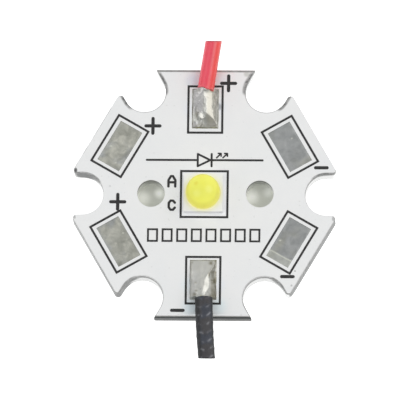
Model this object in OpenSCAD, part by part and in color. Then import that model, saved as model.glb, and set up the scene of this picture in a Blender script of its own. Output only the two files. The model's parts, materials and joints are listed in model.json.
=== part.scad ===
// Star-shaped metal-core board with a domed power emitter and two soldered lead stubs.
// Millimetres. The origin is the centre of the star's underside, +Z points the way the light goes,
// +Y points towards the positive lead.

/* [Board] */
// Star size between opposite flats
across_flats = 20.1; // [19.8:0.1:20.6]
// Board thickness without the print
board_t = 1.6; // [1.4:0.1:2]
// Half the width of the screw slots
slot_r = 1.68; // [1.6:0.01:1.85]
// Distance from the board centre to the round end's centre of a slot
slot_c = 9.7; // [9.5:0.01:9.8]
// Rounding of the routed tips beside the upper and lower slots
tip_r = 0.3; // [0.2:0.02:0.5]
// Rounding of the routed tips beside the left and right slots
side_tip_r = 0.3; // [0.1:0.02:0.5]
// Radius of the two round holes
hole_r = 1.1; // [0.9:0.05:1.2]
// Half the distance between the round holes
hole_x = 4.32; // [4.2:0.02:4.5]
// How far the drilled holes sit to the right of the print
hole_dx = 0.09; // [0:0.01:0.1]
// How far the drilled holes sit above the print
hole_dy = 0.04; // [0:0.01:0.1]
// Width of the scored bevel on the emitter's side of the bottom flat
score_w = 0.26; // [0.1:0.01:0.3]
// Depth of the scored bevel on the emitter's side of the bottom flat
score_d = 0.35; // [0.2:0.05:0.5]
// Width of the scored bevels on the underside
score_back_w = 0.1; // [0.08:0.01:0.25]
// Depth of the scored bevels on the underside
score_back_d = 0.7; // [0.3:0.05:0.8]
// How far the top flat stands out beyond the others
top_extra = 0.13; // [0:0.01:0.15]
// Bare strip without lacquer along the top flat
top_bare = 0.2; // [0.05:0.005:0.25]

/* [Layers] */
// Insulating film thickness
dielectric_t = 0.08; // [0.06:0.01:0.12]
// Copper foil thickness
copper_t = 0.07; // [0.04:0.01:0.1]
// Lacquer thickness over the copper
mask_t = 0.05; // [0.03:0.01:0.08]
// Lacquer set-back from every cut edge
mask_back = 0.02; // [0.02:0.01:0.1]
// Print thickness
print_t = 0.015; // [0.01:0.005:0.03]

/* [Pads] */
// Radial size of the four bare pads
side_pad_w = 1.98; // [1.6:0.02:2.2]
// Tangential size of the four bare pads
side_pad_l = 3.64; // [3:0.02:3.8]
// Distance of the bare pads from the board centre
side_pad_c = 7.8; // [7.6:0.02:7.9]
// Width of the two lead pads
lead_pad_w = 2.06; // [1.8:0.02:2.2]
// Length of the two lead pads
lead_pad_l = 3.17; // [2.8:0.01:3.3]
// Distance of the lead pads from the board centre
lead_pad_c = 6.98; // [6.9:0.02:7.1]
// Height of the tin on the bare pads
tin_t = 0.03; // [0.02:0.005:0.04]

/* [Print] */
// Line width of the pad outlines
frame_line = 0.17; // [0.12:0.01:0.22]
// Line width of the plus and minus marks
mark_line = 0.26; // [0.2:0.01:0.3]
// Line width of the small letters
letter_line = 0.19; // [0.14:0.01:0.22]

/* [Emitter] */
// Side of the square ceramic plate
carrier_w = 3.1; // [3:0.05:3.3]
// Thickness of the ceramic plate
carrier_t = 0.55; // [0.4:0.05:0.7]
// Radius of the dome
dome_r = 1.34; // [1.3:0.005:1.4]
// Height of the straight skirt below the dome
skirt_h = 0.48; // [0.4:0.02:0.6]
// Sideways placing of the emitter on its pads
emitter_dx = -0.07; // [-0.12:0.01:0.12]
// Gap between copper and ceramic that solder and contacts fill
standoff = 0.11; // [0.09:0.01:0.14]

/* [Leads] */
// Outer diameter of the red sleeve
red_od = 1.32; // [1.2:0.01:1.34]
// Outer diameter of the black sleeve
black_od = 1.42; // [1.3:0.02:1.44]
// Diameter of one strand
strand_d = 0.2; // [0.16:0.01:0.22]
// Slant of the cut at the lead ends, in degrees from square
cut_slant = 13.65; // [0:0.05:20]

/* [Hidden] */
$fn = 64;
eps = 0.01;

// Heights of the layers, from the underside up
z_copper = board_t - mask_t - copper_t;
z_pad = board_t - mask_t;
z_film = z_copper - dielectric_t;
z_top = board_t;
z_carrier = z_pad + standoff;
z_plate = z_carrier + carrier_t;
contact_t = 0.03;
z_contact = z_carrier - contact_t;
metal_t = 0.03;
z_metal = z_plate + metal_t;
attach_t = 0.02;
die_t = 0.12;
z_die = z_metal + attach_t + die_t;
guard_t = 0.1;

// Pads under the emitter: three stripes along X
stripe_l = 2.5;
stripe_w = 0.5;
stripe_y = 1.15;
thermal_w = 1.2;

// Axis points of the leads: where the sleeve starts and where the lead is cut
red_a = [0.045, 8.52, board_t + 0.7];
red_b = [0.62, 12.32, board_t + 0.91];
black_a = [0.1, -8.62, board_t + 0.75];
black_b = [0.405, -13.58, board_t + 0.91];
// Length of bare conductor that lies in the solder
bare_l = 2.4;
strand_gap = 0.01;
bundle_r = 1.5 * strand_d + strand_gap;
bore_r = bundle_r + 0.01;

side_angles = [30, 150, 210, 330];

// ---------- outlines ----------

// One screw slot along +X, made wider and deeper by grow
module slot(grow = 0) {
    translate([slot_c, 0]) circle(slot_r + grow);
    translate([slot_c, -slot_r - grow]) square([6, 2 * (slot_r + grow)]);
}

// What rounding takes off the tip between a slot on +X and the flat on its lower side
module tip_trim(tip_round, grow = 0) {
    r = tip_round + grow * 0.5;
    f = across_flats / 2 - grow;
    w = slot_r + grow;
    tip = [f / cos(30) - w / tan(60), -w];
    c = tip + [-sqrt(3) * r, -r];
    a = c + [0, r];
    b = c + r * [cos(-30), sin(-30)];
    difference() {
        polygon([c, a, a + [0, 0.3], tip + [0.5, 0.3], tip + 0.6 * [cos(-30), sin(-30)], b + 0.3 * [cos(-30), sin(-30)], b]);
        translate(c) circle(r);
    }
}

// Board outline with slots, drawn smaller by back. Only the routed flats have round tips.
module star(back = 0) {
    difference() {
        union() {
            circle(r = (across_flats / 2 - back) / cos(30), $fn = 6);
            translate([-5, across_flats / 2 - back - 0.5]) square([10, 0.5 + top_extra]);
        }
        for (k = [0:5]) rotate(60 * k) slot(back);
        for (a = [0, 180]) rotate(a) {
            tip_trim(side_tip_r, back);
            mirror([0, 1]) tip_trim(side_tip_r, back);
        }
        for (a = [240, 60]) rotate(a) tip_trim(tip_r, back);
        for (a = [120, 300]) rotate(a) mirror([0, 1]) tip_trim(tip_r, back);
    }
}

module holes(grow = 0) {
    for (s = [-1, 1]) translate([s * hole_x + hole_dx, hole_dy]) circle(hole_r + grow);
}

// Bevels left by the score lines: both faces of the bottom flat, the underside of the top flat
module score_cuts() {
    for (m = [0, 1]) mirror([0, m, 0]) rotate([90, 0, 90]) translate([0, 0, -12]) linear_extrude(24) {
        h = across_flats / 2 + (m == 0 ? top_extra : 0);
        if (m == 1) polygon([[h - score_w, board_t], [h - score_w, board_t + 1], [h + 1, board_t + 1], [h + 1, board_t - score_d], [h, board_t - score_d]]);
        polygon([[h - score_back_w, 0], [h - score_back_w, -1], [h + 1, -1], [h + 1, score_back_d], [h, score_back_d]]);
    }
}

// What keeps the lacquer off the strip along the top flat
module top_strip() {
    translate([-12, across_flats / 2 + top_extra - top_bare, -1]) cube([24, 2, board_t + 2]);
}

module side_pad(angle) {
    rotate(angle) translate([side_pad_c, 0]) square([side_pad_w, side_pad_l], center = true);
}

module lead_pad(s) {
    translate([0, s * lead_pad_c]) square([lead_pad_w, lead_pad_l], center = true);
}

module stripe(y, w) {
    translate([0, y]) square([stripe_l, w], center = true);
}

module openings() {
    for (a = side_angles) side_pad(a);
    for (s = [-1, 1]) lead_pad(s);
    stripe(stripe_y, stripe_w);
    stripe(0, thermal_w);
    stripe(-stripe_y, stripe_w);
}

// ---------- copper shapes ----------

split_gap = 0.3;

module copper_field() {
    difference() {
        star(0.5);
        holes(0.5);
        square([5.7, thermal_w + 0.45], center = true);
    }
}

module anode_shape() {
    difference() {
        union() {
            intersection() {
                copper_field();
                rotate(60) translate([-15, split_gap / 2]) square([30, 15]);
            }
            translate([0, stripe_y + 0.05]) square([stripe_l + 0.2, stripe_w + 0.2], center = true);
        }
        translate([0, -stripe_y - 0.05]) square([stripe_l + 0.7, stripe_w + 0.7], center = true);
    }
}

module cathode_shape() {
    rotate(180) anode_shape();
}

module thermal_shape() {
    square([5.2, thermal_w + 0.05], center = true);
}

// ---------- print shapes ----------

module stroke(p, q, w) {
    d = q - p;
    translate(p) rotate(atan2(d[1], d[0])) translate([0, -w / 2]) square([norm(d), w]);
    translate(p) circle(d = w, $fn = 24);
    translate(q) circle(d = w, $fn = 24);
}

module trace(pts, w) {
    for (i = [0:len(pts) - 2]) stroke(pts[i], pts[i + 1], w);
}

module frame(w, h, line) {
    difference() {
        square([w + line, h + line], center = true);
        square([w - line, h - line], center = true);
    }
}

module plus(p) {
    stroke(p - [0.55, 0], p + [0.55, 0], mark_line);
    stroke(p - [0, 0.6], p + [0, 0.6], mark_line);
}

module minus(p) {
    stroke(p - [0.45, 0], p + [0.45, 0], mark_line);
}

module letter_a(p) {
    translate(p) {
        trace([[-0.27, -0.42], [-0.27, 0.1], [-0.08, 0.42], [0.08, 0.42], [0.27, 0.1], [0.27, -0.42]], letter_line);
        stroke([-0.27, -0.08], [0.27, -0.08], letter_line);
    }
}

module letter_c(p) {
    translate(p) trace([[0.24, 0.2], [0.1, 0.37], [-0.1, 0.37], [-0.24, 0.18], [-0.24, -0.18], [-0.1, -0.37], [0.1, -0.37], [0.24, -0.2]], letter_line);
}

// Plain diode symbol between the lead pads' rows
module diode_symbol(p) {
    w = 0.16;
    translate(p) {
        stroke([-4.6, 0], [-0.55, 0], w);
        stroke([0.55, 0], [4.6, 0], w);
        trace([[-0.55, -0.5], [-0.55, 0.5], [0.45, 0], [-0.55, -0.5]], w);
        stroke([0.55, -0.5], [0.55, 0.5], w);
        for (x = [0.95, 1.45]) {
            stroke([x, 0.2], [x + 0.35, 0.55], 0.12);
            trace([[x + 0.13, 0.55], [x + 0.35, 0.55], [x + 0.35, 0.33]], 0.12);
        }
    }
}

// Row of empty boxes where a week of making would be ticked
module tick_boxes(p) {
    for (i = [0:7]) translate(p + [(i - 3.5) * 1.16, 0]) frame(0.72, 0.95, 0.15);
}

module print_shape() {
    for (a = side_angles) rotate(a) translate([side_pad_c, 0]) frame(2.715, 4.283, frame_line);
    translate([0, 6.92]) frame(2.71, 3.79, frame_line);
    translate([0, -7.02]) frame(2.71, 3.79, frame_line);
    frame(3.7, 3.75, frame_line);
    plus([1.82, 9.075]);
    plus([-4.15, 5.56]);
    plus([-6.86, -0.66]);
    minus([9.27, 2.2]);
    minus([6.68, -6.69]);
    minus([-2, -9.48]);
    letter_a([-2.58, 1.035]);
    letter_c([-2.565, -0.915]);
    diode_symbol([0, 2.78]);
    tick_boxes([0, -3.36]);
}

// ---------- leads ----------

// Places children with +Z along the line from a to b, starting at a
module along(a, b) {
    d = b - a;
    translate(a) rotate([0, acos(d[2] / norm(d)), atan2(d[1], d[0])]) children();
}

// What lies beyond the slanted cut at the end b of a lead, dir is the sign of Y
module beyond(b, dir) {
    translate(b) rotate([cut_slant, 0, 0]) translate([-4, dir > 0 ? 0 : -8, -4]) cube(8);
}

module sleeve(a, b, od, dir) {
    difference() {
        along(a, b) difference() {
            cylinder(d = od, h = norm(b - a) + 1);
            translate([0, 0, -eps]) cylinder(r = bore_r, h = norm(b - a) + 2);
        }
        beyond(b, dir);
    }
}

module strands(a, b, dir) {
    difference() {
        along(a, b) translate([0, 0, -bare_l]) {
            cylinder(d = strand_d, h = norm(b - a) + bare_l + 1, $fn = 24);
            for (k = [0:5]) rotate(60 * k) translate([strand_d + strand_gap, 0, 0]) cylinder(d = strand_d, h = norm(b - a) + bare_l + 1, $fn = 24);
        }
        beyond(b, dir);
    }
}

// Solder that fills a lead pad and climbs over the conductor
module solder_mound(a, b, s) {
    difference() {
        union() {
            translate([0, 0, z_pad]) linear_extrude(mask_t + 0.02) lead_pad(s);
            hull() {
                translate([-lead_pad_w / 2 + 0.02, s * lead_pad_c - lead_pad_l / 2 + 0.08, z_top - 0.01]) cube([lead_pad_w - 0.04, lead_pad_l - 0.16, 0.08]);
                along(a, b) translate([0, 0, -bare_l - 0.1]) cylinder(r = bundle_r + 0.1, h = bare_l + 0.1, $fn = 32);
            }
        }
        along(a, b) translate([0, 0, -bare_l]) cylinder(r = bundle_r, h = bare_l + 1);
        along(a, b) cylinder(d = 3, h = 3);
    }
}

// ---------- emitter ----------

module place_emitter() {
    translate([emitter_dx, 0, 0]) children();
}

module die_block() {
    translate([-0.5, -0.55, z_metal + attach_t]) cube([1, 1, die_t]);
}

module guard_block() {
    translate([-0.57, 0.87, z_metal]) cube([0.24, 0.23, guard_t]);
}

// One gold wire: a half loop in the YZ plane from a to b with a straight drop at each end
module loop_wire(x, y0, z0, y1, z1) {
    r = (y1 - y0) / 2;
    zt = max(z0, z1) + 0.04;
    w = 0.02;
    translate([x, (y0 + y1) / 2, zt]) rotate([90, 0, 90]) rotate_extrude(angle = 180, $fn = 48) translate([r, 0]) circle(w, $fn = 16);
    translate([x, y0, z0]) cylinder(r = w, h = zt - z0, $fn = 16);
    translate([x, y1, z1]) cylinder(r = w, h = zt - z1, $fn = 16);
}

module wire_loops() {
    loop_wire(0.1, 0.36, z_die, 0.98, z_metal);
    loop_wire(0.35, 0.36, z_die, 0.98, z_metal);
    loop_wire(-0.45, 0.53, z_metal, 0.98, z_metal + guard_t);
}

module die_pad_shape() {
    translate([-0.6, -1.12]) square([1.2, 1.72]);
}

module bond_pad_shape() {
    translate([-0.6, 0.84]) square([1.2, 0.28]);
}

module via_places() {
    for (x = [-0.4, 0.4], y = [-1, 1]) translate([x, y, 0]) children();
}

// ---------- nodes ----------

module aluminium_base() {
    color("silver") difference() {
        linear_extrude(z_film) difference() {
            star();
            holes();
        }
        score_cuts();
    }
}

module dielectric_layer() {
    color("dimgray") difference() {
        translate([0, 0, z_film]) linear_extrude(dielectric_t) difference() {
            star();
            holes();
        }
        score_cuts();
    }
}

module anode_copper() {
    color("peru") translate([0, 0, z_copper]) linear_extrude(copper_t) anode_shape();
}

module cathode_copper() {
    color("peru") translate([0, 0, z_copper]) linear_extrude(copper_t) cathode_shape();
}

module thermal_copper() {
    color("peru") translate([0, 0, z_copper]) linear_extrude(copper_t) thermal_shape();
}

module solder_mask() {
    color("whitesmoke") difference() {
        union() {
            translate([0, 0, z_copper]) linear_extrude(copper_t) difference() {
                star(mask_back);
                holes(0);
                anode_shape();
                cathode_shape();
                thermal_shape();
            }
            translate([0, 0, z_pad]) linear_extrude(mask_t) difference() {
                star(mask_back);
                holes(0);
                openings();
            }
        }
        score_cuts();
        top_strip();
    }
}

module legend_print() {
    color("black") translate([0, 0, z_top]) linear_extrude(print_t) print_shape();
}

module pad_tin(angle) {
    color("darkgray") translate([0, 0, z_pad]) linear_extrude(tin_t) side_pad(angle);
}

module upper_left_pad_tin() { pad_tin(150); }
module lower_left_pad_tin() { pad_tin(210); }
module upper_right_pad_tin() { pad_tin(30); }
module lower_right_pad_tin() { pad_tin(330); }

module positive_solder_joint() { color("lightgray") solder_mound(red_a, red_b, 1); }
module negative_solder_joint() { color("lightgray") solder_mound(black_a, black_b, -1); }

module red_insulation() { color("crimson") sleeve(red_a, red_b, red_od, 1); }
module red_strands() { color("gainsboro") strands(red_a, red_b, 1); }
module black_insulation() { color("darkslategray") sleeve(black_a, black_b, black_od, -1); }
module black_strands() { color("gainsboro") strands(black_a, black_b, -1); }

module layer_under(y, w) {
    color("lightgray") translate([0, 0, z_pad]) linear_extrude(z_contact - z_pad) stripe(y, w);
}

module anode_solder_layer() { layer_under(stripe_y, stripe_w); }
module thermal_solder_layer() { layer_under(0, thermal_w); }
module cathode_solder_layer() { layer_under(-stripe_y, stripe_w); }

module contact(y, w) {
    color("goldenrod") place_emitter() translate([0, 0, z_contact]) linear_extrude(contact_t) stripe(y, w);
}

module anode_contact() { contact(stripe_y, stripe_w); }
module thermal_contact() { contact(0, thermal_w); }
module cathode_contact() { contact(-stripe_y, stripe_w); }

module emitter_carrier() {
    color("ivory") place_emitter() difference() {
        translate([-carrier_w / 2, -carrier_w / 2, z_carrier]) cube([carrier_w, carrier_w, carrier_t]);
        via_places() translate([0, 0, z_carrier - 1]) cylinder(d = 0.16, h = carrier_t + 2);
    }
}

module carrier_vias() {
    color("goldenrod") place_emitter() via_places() translate([0, 0, z_carrier]) cylinder(d = 0.16, h = carrier_t);
}

module die_pad_metal() {
    color("goldenrod") place_emitter() translate([0, 0, z_plate]) linear_extrude(metal_t) die_pad_shape();
}

module bond_pad_metal() {
    color("goldenrod") place_emitter() translate([0, 0, z_plate]) linear_extrude(metal_t) bond_pad_shape();
}

module die_attach_layer() {
    color("darkgray") place_emitter() translate([-0.5, -0.55, z_metal]) cube([1, 1, attach_t]);
}

module emitter_die() { color("steelblue") place_emitter() die_block(); }
module protection_diode() { color("slategray") place_emitter() guard_block(); }
module bond_wires() { color("gold") place_emitter() wire_loops(); }

module emitter_dome() {
    color("yellow") place_emitter() difference() {
        union() {
            translate([0, 0, z_plate]) cylinder(r = dome_r, h = skirt_h);
            translate([0, 0, z_plate + skirt_h]) intersection() {
                sphere(dome_r);
                translate([-2, -2, 0]) cube(4);
            }
        }
        translate([0, 0, z_plate - 1]) linear_extrude(metal_t + 1) {
            die_pad_shape();
            bond_pad_shape();
        }
        translate([-0.5, -0.55, z_plate]) cube([1, 1, metal_t + attach_t + die_t]);
        translate([0, 0, 0]) guard_block();
        wire_loops();
    }
}

aluminium_base();
dielectric_layer();
anode_copper();
cathode_copper();
thermal_copper();
solder_mask();
legend_print();
upper_left_pad_tin();
lower_left_pad_tin();
upper_right_pad_tin();
lower_right_pad_tin();
positive_solder_joint();
negative_solder_joint();
red_insulation();
red_strands();
black_insulation();
black_strands();
anode_solder_layer();
thermal_solder_layer();
cathode_solder_layer();
anode_contact();
thermal_contact();
cathode_contact();
emitter_carrier();
carrier_vias();
die_pad_metal();
bond_pad_metal();
die_attach_layer();
emitter_die();
protection_diode();
bond_wires();
emitter_dome();
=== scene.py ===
import json
import math

import bmesh
import bpy
import numpy as np
from mathutils import Matrix, Vector, noise


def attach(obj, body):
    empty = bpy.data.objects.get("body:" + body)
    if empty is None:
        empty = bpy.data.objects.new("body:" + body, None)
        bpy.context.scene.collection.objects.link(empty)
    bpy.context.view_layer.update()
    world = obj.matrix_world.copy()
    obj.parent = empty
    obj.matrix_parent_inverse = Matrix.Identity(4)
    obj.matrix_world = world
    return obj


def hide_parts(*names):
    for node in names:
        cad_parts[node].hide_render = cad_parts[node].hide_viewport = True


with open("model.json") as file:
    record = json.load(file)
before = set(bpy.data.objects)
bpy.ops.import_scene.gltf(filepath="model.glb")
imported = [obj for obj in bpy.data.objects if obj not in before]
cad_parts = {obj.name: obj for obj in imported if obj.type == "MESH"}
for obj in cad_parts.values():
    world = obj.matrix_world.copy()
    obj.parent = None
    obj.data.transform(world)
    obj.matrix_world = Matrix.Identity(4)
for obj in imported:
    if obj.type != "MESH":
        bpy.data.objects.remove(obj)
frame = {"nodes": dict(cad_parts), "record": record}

MM = 0.001
scene = bpy.context.scene
nodes = frame["nodes"]
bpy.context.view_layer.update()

# ------------------------------------------------------------------ camera
# The view is nearly parallel: a long lens, 13.6 degrees off straight down.
FOCAL = 12000.0  # in pixels of a 400 pixel wide frame


def turn(ax, ay, az):
    ax, ay, az = (math.radians(v) for v in (ax, ay, az))
    rx = np.array([[1, 0, 0], [0, math.cos(ax), -math.sin(ax)], [0, math.sin(ax), math.cos(ax)]])
    ry = np.array([[math.cos(ay), 0, math.sin(ay)], [0, 1, 0], [-math.sin(ay), 0, math.cos(ay)]])
    rz = np.array([[math.cos(az), -math.sin(az), 0], [math.sin(az), math.cos(az), 0], [0, 0, 1]])
    return rz @ ry @ rx


view = turn(-13.62, -2.10, -0.29)
eye = np.array([0.0, 0.0, 1.6]) - view.T @ np.array([0.337, 0.470, -952.2]) + np.array([0.0016, 0.005, 0.0])
cam_data = bpy.data.cameras.new("camera")
cam_data.sensor_width = 36.0
cam_data.lens = 36.0 * FOCAL / 400.0
cam_data.clip_start = 0.01
cam_data.clip_end = 20.0
cam = bpy.data.objects.new("camera", cam_data)
scene.collection.objects.link(cam)
pose = Matrix.Identity(4)
for i in range(3):
    for j in range(3):
        pose[i][j] = view[j][i]
    pose[i][3] = eye[i] * MM
cam.matrix_world = pose
scene.camera = cam
scene.view_settings.view_transform = "Standard"


# ------------------------------------------------------------------ shader helpers
class Shader:
    """A material with one principled shader, and short names for the nodes that feed it."""

    def __init__(self, name):
        self.mat = bpy.data.materials.new(name)
        self.mat.use_nodes = True
        self.tree = self.mat.node_tree
        self.tree.nodes.clear()
        self.out = self.tree.nodes.new("ShaderNodeOutputMaterial")
        self.bsdf = self.tree.nodes.new("ShaderNodeBsdfPrincipled")
        self.tree.links.new(self.bsdf.outputs[0], self.out.inputs[0])
        coord = self.tree.nodes.new("ShaderNodeTexCoord")
        scale = self.tree.nodes.new("ShaderNodeMapping")
        scale.inputs["Scale"].default_value = (1000.0, 1000.0, 1000.0)
        self.tree.links.new(coord.outputs["Object"], scale.inputs["Vector"])
        self.mm = scale.outputs[0]

    def put(self, socket, value):
        if isinstance(value, bpy.types.NodeSocket):
            self.tree.links.new(value, socket)
        elif isinstance(value, (tuple, list)) and len(value) == 3 and socket.type == "RGBA":
            socket.default_value = (*value, 1.0)
        else:
            socket.default_value = value

    def set(self, **values):
        for k, v in values.items():
            self.put(self.bsdf.inputs[k.replace("_", " ")], v)
        return self

    def stretch(self, sx, sy, sz, rot=(0, 0, 0), vec=None):
        n = self.tree.nodes.new("ShaderNodeMapping")
        n.inputs["Scale"].default_value = (sx, sy, sz)
        n.inputs["Rotation"].default_value = rot
        self.tree.links.new(vec or self.mm, n.inputs["Vector"])
        return n.outputs[0]

    def noise(self, scale, detail=3.0, rough=0.55, warp=0.0, vec=None):
        n = self.tree.nodes.new("ShaderNodeTexNoise")
        n.inputs["Scale"].default_value = scale
        n.inputs["Detail"].default_value = detail
        n.inputs["Roughness"].default_value = rough
        n.inputs["Distortion"].default_value = warp
        self.tree.links.new(vec or self.mm, n.inputs["Vector"])
        return n.outputs[0]

    def ramp(self, fac, *stops):
        n = self.tree.nodes.new("ShaderNodeValToRGB")
        e = n.color_ramp.elements
        while len(e) < len(stops):
            e.new(0.5)
        for el, (pos, col) in zip(e, stops):
            el.position = pos
            el.color = (*col, 1.0) if isinstance(col, (tuple, list)) else (col, col, col, 1.0)
        self.tree.links.new(fac, n.inputs[0])
        return n.outputs[0]

    def span(self, value, lo, hi, to_lo, to_hi, smooth=False):
        n = self.tree.nodes.new("ShaderNodeMapRange")
        n.interpolation_type = "SMOOTHSTEP" if smooth else "LINEAR"
        self.tree.links.new(value, n.inputs[0])
        for i, v in enumerate((lo, hi, to_lo, to_hi)):
            n.inputs[i + 1].default_value = v
        return n.outputs[0]

    def math(self, op, a, b=0.0, clamp=False):
        n = self.tree.nodes.new("ShaderNodeMath")
        n.operation = op
        n.use_clamp = clamp
        self.put(n.inputs[0], a)
        self.put(n.inputs[1], b)
        return n.outputs[0]

    def mix(self, fac, a, b, kind="MIX"):
        n = self.tree.nodes.new("ShaderNodeMix")
        n.data_type = "RGBA"
        n.blend_type = kind
        self.put(n.inputs[0], fac)
        self.put(n.inputs[6], a)
        self.put(n.inputs[7], b)
        return n.outputs[2]

    def attr(self, name):
        n = self.tree.nodes.new("ShaderNodeAttribute")
        n.attribute_name = name
        return n.outputs["Fac"]

    def near(self, x, y, z, inner, outer, scale=(1.0, 1.0, 1.0)):
        """1 within inner millimetres of a point, 0 beyond outer. scale stretches the distance along each axis."""
        m = self.tree.nodes.new("ShaderNodeVectorMath")
        m.operation = "MULTIPLY"
        self.tree.links.new(self.mm, m.inputs[0])
        m.inputs[1].default_value = scale
        n = self.tree.nodes.new("ShaderNodeVectorMath")
        n.operation = "DISTANCE"
        self.tree.links.new(m.outputs[0], n.inputs[0])
        n.inputs[1].default_value = (x * scale[0], y * scale[1], z * scale[2])
        return self.span(n.outputs["Value"], inner, outer, 1.0, 0.0, True)

    def along(self, angle, quarter=False):
        """Distance from the middle of the star along a direction, or across it."""
        a = math.radians(angle + (90 if quarter else 0))
        n = self.tree.nodes.new("ShaderNodeVectorMath")
        n.operation = "DOT_PRODUCT"
        self.tree.links.new(self.mm, n.inputs[0])
        n.inputs[1].default_value = (math.cos(a), math.sin(a), 0.0)
        return n.outputs["Value"]

    def slot_edge(self, angle):
        """Distance from the wall of the screw slot that opens in a direction."""
        p = self.math("MINIMUM", self.math("SUBTRACT", self.along(angle), 9.70), 0.0)
        q = self.along(angle, True)
        d = self.math("SQRT", self.math("ADD", self.math("MULTIPLY", p, p), self.math("MULTIPLY", q, q)))
        return self.math("SUBTRACT", d, 1.68)

    def axis(self, which):
        n = self.tree.nodes.new("ShaderNodeSeparateXYZ")
        self.tree.links.new(self.mm, n.inputs[0])
        return n.outputs[which]

    def reach(self):
        """Distance from the middle of the star, level."""
        flat = self.stretch(1.0, 1.0, 0.0)
        n = self.tree.nodes.new("ShaderNodeVectorMath")
        n.operation = "LENGTH"
        self.tree.links.new(flat, n.inputs[0])
        return n.outputs["Value"]

    def normal_part(self, which, signed=False):
        """Size of one part of the true normal."""
        g = self.tree.nodes.new("ShaderNodeNewGeometry")
        n = self.tree.nodes.new("ShaderNodeSeparateXYZ")
        self.tree.links.new(g.outputs["True Normal"], n.inputs[0])
        return n.outputs[which] if signed else self.math("ABSOLUTE", n.outputs[which])

    def facing_up(self):
        """1 on level faces, 0 on upright walls."""
        return self.normal_part(2)

    def bump(self, height, depth_mm, strength=1.0, under=None):
        n = self.tree.nodes.new("ShaderNodeBump")
        n.inputs["Strength"].default_value = strength
        n.inputs["Distance"].default_value = depth_mm * MM
        self.tree.links.new(height, n.inputs["Height"])
        if under is not None:
            self.tree.links.new(under, n.inputs["Normal"])
        return n.outputs[0]


def wear(s, low, high, scale=1.5, fine=14.0, share=0.35):
    """Two-scale colour variation between two colours."""
    f = s.math("ADD", s.math("MULTIPLY", s.noise(scale, 3.0), 1.0 - share), s.math("MULTIPLY", s.noise(fine, 2.0), share))
    return s.ramp(f, (0.32, low), (0.68, high))


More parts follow.
